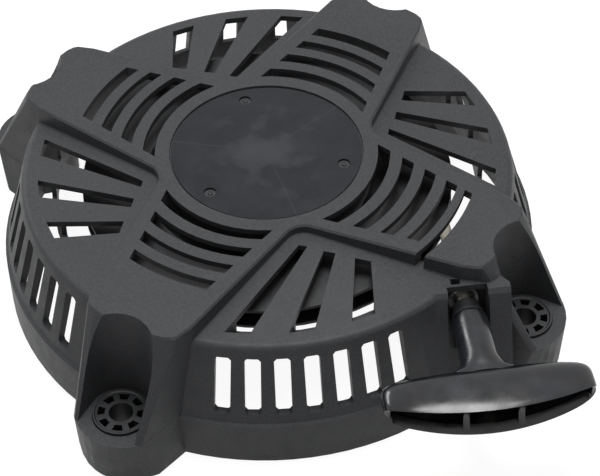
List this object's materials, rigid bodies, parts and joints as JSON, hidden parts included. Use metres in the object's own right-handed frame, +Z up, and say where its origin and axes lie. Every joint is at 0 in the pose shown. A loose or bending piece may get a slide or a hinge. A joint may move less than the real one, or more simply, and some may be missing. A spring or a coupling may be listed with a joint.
{
  "type": "recoil starter",
  "caption": "Vented round recoil starter on bolt-down legs, with a rope reel, flat return spring, pawls and a T-shaped pull grip.",
  "frame": {"origin": "under the middle of the whole starter, at the feet; the reel axis stands 21.25 mm behind it, towards +Y", "axes": "+Z up along the reel axis, away from the engine. The rope is pulled towards -Y, turned 8.5 degrees towards -X. The four legs lie on the diagonals."},
  "size_m": [0.2532, 0.2956, 0.0715],
  "materials": {
    "case_plastic": "fine textured",
    "grip_plastic": "smooth, glossy",
    "collar_rubber": "matte",
    "bush_nylon": "smooth satin",
    "reel_nylon": "smooth satin",
    "rope": "braided",
    "spring_steel": "bright, oiled",
    "zinc_steel": "zinc plated",
    "pawl_steel": "sintered, oiled"
  },
  "bodies": {
    "case": {"recoil_case": "case_plastic", "mount_bush_1": "bush_nylon", "mount_bush_2": "bush_nylon", "mount_bush_3": "bush_nylon", "mount_bush_4": "bush_nylon", "rope_eyelet": "zinc_steel", "spring_cover": "zinc_steel", "recoil_spring": "spring_steel", "reel_washer": "zinc_steel", "friction_spring": "spring_steel", "centre_screw": "zinc_steel", "rope_lead": "rope"},
    "reel": {"reel": "reel_nylon", "rope_wound": "rope", "friction_plate": "zinc_steel", "pawl_spring_1": "spring_steel", "pawl_spring_2": "spring_steel"},
    "pawl_a": {"pawl_1": "pawl_steel"},
    "pawl_b": {"pawl_2": "pawl_steel"},
    "grip": {"grip": "grip_plastic", "grip_collar": "collar_rubber", "rope_knot": "rope"}
  },
  "joints": [
    {"name": "reel_spin", "type": "hinge", "parent": "case", "child": "reel", "pos_m": [0, 0.02125, 0], "axis": [0, 0, -1], "range_deg": [0, 612], "stiffness_Nm_per_rad": 0.04, "springref_deg": -572.96},
    {"name": "grip_pull", "type": "slide", "parent": "case", "child": "grip", "axis": [-0.1478, -0.989, 0], "range_m": [0, 0.77], "deforming": ["rope_lead"]},
    {"name": "pawl_a_swing", "type": "hinge", "parent": "reel", "child": "pawl_a", "pos_m": [0.025, 0.02125, 0.04], "axis": [0, 0, -1], "range_deg": [0, 30], "stiffness_Nm_per_rad": 0.002, "springref_deg": -17.19},
    {"name": "pawl_b_swing", "type": "hinge", "parent": "reel", "child": "pawl_b", "pos_m": [-0.025, 0.02125, 0.04], "axis": [0, 0, -1], "range_deg": [0, 30], "stiffness_Nm_per_rad": 0.002, "springref_deg": -17.19}
  ],
  "couplings": [
    {"joint": "grip_pull", "follows": "reel_spin", "m_per_rad": 0.0713},
    {"joint": "pawl_b_swing", "follows": "pawl_a_swing", "ratio": 1}
  ]
}
